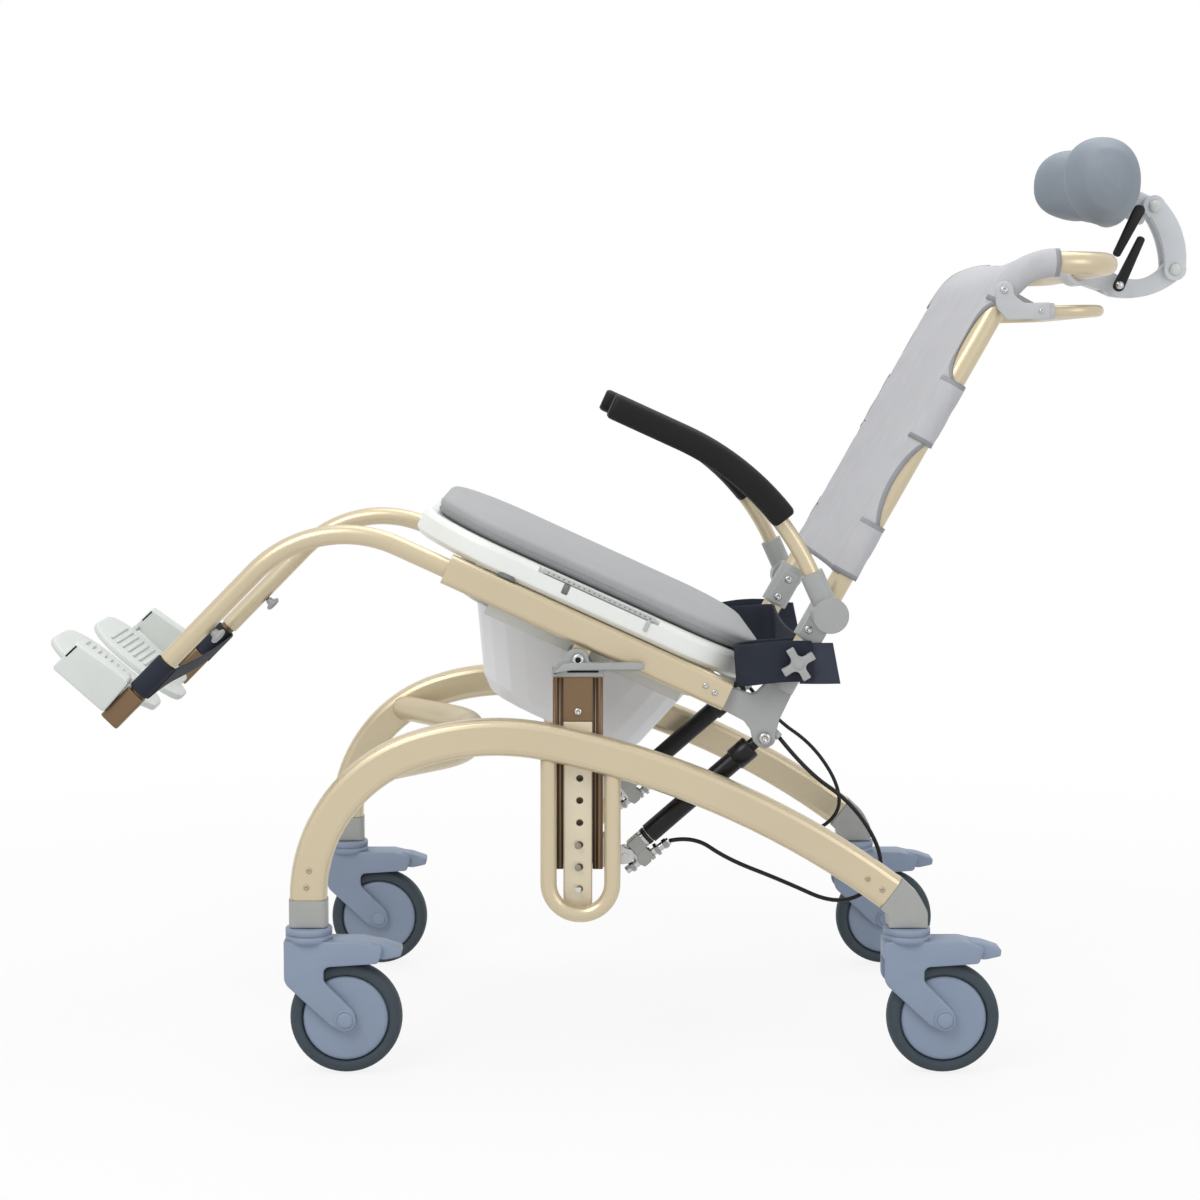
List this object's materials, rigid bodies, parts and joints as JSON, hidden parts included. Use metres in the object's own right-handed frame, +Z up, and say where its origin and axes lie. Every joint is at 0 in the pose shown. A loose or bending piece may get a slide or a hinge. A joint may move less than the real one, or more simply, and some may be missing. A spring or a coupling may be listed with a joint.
{
  "type": "reclining shower chair",
  "caption": "Tilting shower and commode chair with arched champagne frame, sling back, winged headrest, swing-up armrests and telescopic leg rests on braked casters",
  "frame": {"origin": "on the floor, at the middle of the plan outline of the chair as it stands in the picture", "axes": "-X is the way the sitter faces, +Z is up, -Y is the sitter's left side"},
  "size_m": [1.3176, 0.559, 1.0448],
  "materials": {
    "champagne_paint": "satin",
    "brown_anodised": "satin",
    "grey_plastic": "satin",
    "grey_cast": "satin",
    "head_arm_grey": "satin",
    "caster_blue": "matte",
    "wheel_grey": "matte",
    "sling_cloth": "woven",
    "lid_skin": "matte",
    "ring_white": "gloss",
    "pan_clear": "translucent",
    "strap_navy": "woven",
    "pad_black": "matte",
    "head_foam": "matte",
    "foot_white": "satin",
    "steel": "brushed",
    "black_paint": "satin",
    "black_plastic": "matte",
    "cable_black": "matte"
  },
  "bodies": {
    "base": {"side_rails": "champagne_paint", "guard_loops": "champagne_paint", "guide_profiles": "champagne_paint", "cross_tube": "champagne_paint", "rail_end_fittings": "grey_plastic", "caster_stems": "steel"},
    "lift": {"lift_columns": "brown_anodised", "pivot_brackets": "grey_cast", "gas_brackets": "steel"},
    "seat": {"seat_frame": "champagne_paint", "side_plates": "grey_cast", "seat_ring": "ring_white", "back_frame": "champagne_paint", "back_sling": "sling_cloth", "arm_clamps": "grey_cast", "hip_strap": "strap_navy", "headrest_base": "grey_cast", "release_cables": "cable_black"},
    "gas_cylinder_pair": {"gas_cylinders": "black_paint"},
    "gas_rod_pair": {"gas_rods": "steel"},
    "lid": {"seat_lid": "lid_skin"},
    "pan": {"commode_pan": "pan_clear"},
    "release": {"release_bar": "champagne_paint", "release_arms": "grey_cast"},
    "armrest_left": {"armrest_elbow_left": "grey_cast", "armrest_tube_left": "champagne_paint", "armrest_pad_left": "pad_black"},
    "armrest_right": {"armrest_elbow_right": "grey_cast", "armrest_tube_right": "champagne_paint", "armrest_pad_right": "pad_black"},
    "leg_left": {"leg_tube_left": "champagne_paint"},
    "shin_left": {"leg_bar_left": "brown_anodised", "foot_bracket_left": "foot_white", "heel_strap": "strap_navy"},
    "foot_left": {"foot_plate_left": "foot_white"},
    "knob_leg_left": {"leg_knob_left": "grey_cast"},
    "knob_cross_left": {"cross_knob_left": "grey_cast"},
    "leg_right": {"leg_tube_right": "champagne_paint"},
    "shin_right": {"leg_bar_right": "brown_anodised", "foot_bracket_right": "foot_white"},
    "foot_right": {"foot_plate_right": "foot_white"},
    "knob_leg_right": {"leg_knob_right": "grey_cast"},
    "knob_cross_right": {"cross_knob_right": "grey_cast"},
    "head_lower": {"headrest_lower_arm": "head_arm_grey"},
    "head_upper": {"headrest_upper_arm": "head_arm_grey"},
    "head_pad": {"headrest_pad": "head_foam"},
    "lever_lower": {"headrest_lever_lower": "black_plastic"},
    "lever_upper": {"headrest_lever_upper": "black_plastic"},
    "caster_front_left": {"caster_fork_front_left": "caster_blue"},
    "wheel_front_left": {"caster_wheel_front_left": "wheel_grey"},
    "brake_front_left": {"brake_pedal_front_left": "caster_blue"},
    "caster_front_right": {"caster_fork_front_right": "caster_blue"},
    "wheel_front_right": {"caster_wheel_front_right": "wheel_grey"},
    "brake_front_right": {"brake_pedal_front_right": "caster_blue"},
    "caster_rear_left": {"caster_fork_rear_left": "caster_blue"},
    "wheel_rear_left": {"caster_wheel_rear_left": "wheel_grey"},
    "brake_rear_left": {"brake_pedal_rear_left": "caster_blue"},
    "caster_rear_right": {"caster_fork_rear_right": "caster_blue"},
    "wheel_rear_right": {"caster_wheel_rear_right": "wheel_grey"},
    "brake_rear_right": {"brake_pedal_rear_right": "caster_blue"}
  },
  "joints": [
    {"name": "lift_slide", "type": "slide", "parent": "base", "child": "lift", "axis": [0, 0, 1], "range_m": [0, 0.1]},
    {"name": "seat_tilt", "type": "hinge", "parent": "lift", "child": "seat", "pos_m": [-0.0603, 0, 0.4604], "axis": [0, 1, 0], "range_deg": [-24.5, 0], "deforming": ["release_cables"]},
    {"name": "gas_swing", "type": "hinge", "parent": "seat", "child": "gas_cylinder_pair", "pos_m": [0.14804, 0, 0.37018], "axis": [0, 1, 0], "range_deg": [0, 13.23]},
    {"name": "gas_stroke", "type": "slide", "parent": "gas_cylinder_pair", "child": "gas_rod_pair", "axis": [-0.7529, 0, -0.6582], "range_m": [0, 0.0853]},
    {"name": "lid_lift", "type": "slide", "parent": "seat", "child": "lid", "axis": [0.4147, 0, 0.91], "range_m": [0, 0.12]},
    {"name": "pan_slide", "type": "slide", "parent": "seat", "child": "pan", "axis": [0.91, 0, -0.4147], "range_m": [0, 0.25]},
    {"name": "release_swing", "type": "hinge", "parent": "seat", "child": "release", "pos_m": [0.40443, 0, 0.86644], "axis": [0, 1, 0], "range_deg": [-10, 0], "stiffness_Nm_per_rad": 2, "springref_deg": 8.59},
    {"name": "armrest_swing_left", "type": "hinge", "parent": "seat", "child": "armrest_left", "pos_m": [0.21481, -0.259, 0.51306], "axis": [0, 1, 0], "range_deg": [0, 100]},
    {"name": "armrest_swing_right", "type": "hinge", "parent": "seat", "child": "armrest_right", "pos_m": [0.21481, 0.259, 0.51306], "axis": [0, 1, 0], "range_deg": [0, 100]},
    {"name": "leg_slide_left", "type": "slide", "parent": "seat", "child": "leg_left", "axis": [-0.91, 0, 0.4147], "range_m": [-0.012, 0.048], "deforming": ["heel_strap"]},
    {"name": "shin_slide_left", "type": "slide", "parent": "leg_left", "child": "shin_left", "axis": [-0.7009, 0, -0.7133], "range_m": [0, 0.06], "deforming": ["heel_strap"]},
    {"name": "foot_flip_left", "type": "hinge", "parent": "shin_left", "child": "foot_left", "pos_m": [-0.61263, -0.191, 0.42791], "axis": [0.7133, 0, -0.7009], "range_deg": [0, 78]},
    {"name": "knob_leg_turn_left", "type": "hinge", "parent": "leg_left", "child": "knob_leg_left", "pos_m": [-0.47599, -0.212, 0.49848], "axis": [0.7133, 0, -0.7009], "continuous": true},
    {"name": "knob_cross_turn_left", "type": "hinge", "parent": "seat", "child": "knob_cross_left", "pos_m": [0.18187, -0.2455, 0.45774], "axis": [0, 1, 0], "continuous": true},
    {"name": "leg_slide_right", "type": "slide", "parent": "seat", "child": "leg_right", "axis": [-0.91, 0, 0.4147], "range_m": [0, 0.06], "deforming": ["heel_strap"]},
    {"name": "shin_slide_right", "type": "slide", "parent": "leg_right", "child": "shin_right", "axis": [-0.7009, 0, -0.7133], "range_m": [0, 0.06], "deforming": ["heel_strap"]},
    {"name": "foot_flip_right", "type": "hinge", "parent": "shin_right", "child": "foot_right", "pos_m": [-0.60171, 0.191, 0.42294], "axis": [-0.7133, 0, 0.7009], "range_deg": [0, 78]},
    {"name": "knob_leg_turn_right", "type": "hinge", "parent": "leg_right", "child": "knob_leg_right", "pos_m": [-0.46507, 0.212, 0.4935], "axis": [0.7133, 0, -0.7009], "continuous": true},
    {"name": "knob_cross_turn_right", "type": "hinge", "parent": "seat", "child": "knob_cross_right", "pos_m": [0.18187, 0.2455, 0.45774], "axis": [0, 1, 0], "continuous": true},
    {"name": "head_lower_swing", "type": "hinge", "parent": "seat", "child": "head_lower", "pos_m": [0.57593, 0, 0.8784], "axis": [0, 1, 0], "range_deg": [-4, 20]},
    {"name": "head_upper_swing", "type": "hinge", "parent": "head_lower", "child": "head_upper", "pos_m": [0.64501, 0, 0.89736], "axis": [0, 1, 0], "range_deg": [-6, 15]},
    {"name": "head_pad_swing", "type": "hinge", "parent": "head_upper", "child": "head_pad", "pos_m": [0.61886, 0, 0.97092], "axis": [0, 1, 0], "range_deg": [-8, 20]},
    {"name": "lever_lower_swing", "type": "hinge", "parent": "seat", "child": "lever_lower", "pos_m": [0.57593, -0.022, 0.8784], "axis": [0, 1, 0], "range_deg": [0, 60]},
    {"name": "lever_upper_swing", "type": "hinge", "parent": "head_pad", "child": "lever_upper", "pos_m": [0.59539, -0.0325, 0.96404], "axis": [0, 1, 0], "range_deg": [-55, 0]},
    {"name": "swivel_front_left", "type": "hinge", "parent": "base", "child": "caster_front_left", "pos_m": [-0.3593, -0.25, 0.165], "axis": [0, 0, 1], "continuous": true},
    {"name": "roll_front_left", "type": "hinge", "parent": "caster_front_left", "child": "wheel_front_left", "pos_m": [-0.3183, -0.25, 0.0625], "axis": [0, 1, 0], "continuous": true},
    {"name": "brake_press_front_left", "type": "hinge", "parent": "caster_front_left", "child": "brake_front_left", "pos_m": [-0.3013, -0.25, 0.1393], "axis": [0, 1, 0], "range_deg": [0, 12]},
    {"name": "swivel_front_right", "type": "hinge", "parent": "base", "child": "caster_front_right", "pos_m": [-0.3593, 0.25, 0.165], "axis": [0, 0, 1], "continuous": true},
    {"name": "roll_front_right", "type": "hinge", "parent": "caster_front_right", "child": "wheel_front_right", "pos_m": [-0.3183, 0.25, 0.0625], "axis": [0, 1, 0], "continuous": true},
    {"name": "brake_press_front_right", "type": "hinge", "parent": "caster_front_right", "child": "brake_front_right", "pos_m": [-0.3013, 0.25, 0.1393], "axis": [0, 1, 0], "range_deg": [0, 12]},
    {"name": "swivel_rear_left", "type": "hinge", "parent": "base", "child": "caster_rear_left", "pos_m": [0.30518, -0.25, 0.165], "axis": [0, 0, 1], "continuous": true},
    {"name": "roll_rear_left", "type": "hinge", "parent": "caster_rear_left", "child": "wheel_rear_left", "pos_m": [0.34618, -0.25, 0.0625], "axis": [0, 1, 0], "continuous": true},
    {"name": "brake_press_rear_left", "type": "hinge", "parent": "caster_rear_left", "child": "brake_rear_left", "pos_m": [0.36318, -0.25, 0.1393], "axis": [0, 1, 0], "range_deg": [0, 12]},
    {"name": "swivel_rear_right", "type": "hinge", "parent": "base", "child": "caster_rear_right", "pos_m": [0.30518, 0.25, 0.165], "axis": [0, 0, 1], "continuous": true},
    {"name": "roll_rear_right", "type": "hinge", "parent": "caster_rear_right", "child": "wheel_rear_right", "pos_m": [0.34618, 0.25, 0.0625], "axis": [0, 1, 0], "continuous": true},
    {"name": "brake_press_rear_right", "type": "hinge", "parent": "caster_rear_right", "child": "brake_rear_right", "pos_m": [0.36318, 0.25, 0.1393], "axis": [0, 1, 0], "range_deg": [0, 12]}
  ],
  "couplings": [
    {"joint": "gas_swing", "follows": "seat_tilt", "ratio": -0.5195},
    {"joint": "gas_stroke", "follows": "seat_tilt", "m_per_rad": -0.1948}
  ]
}
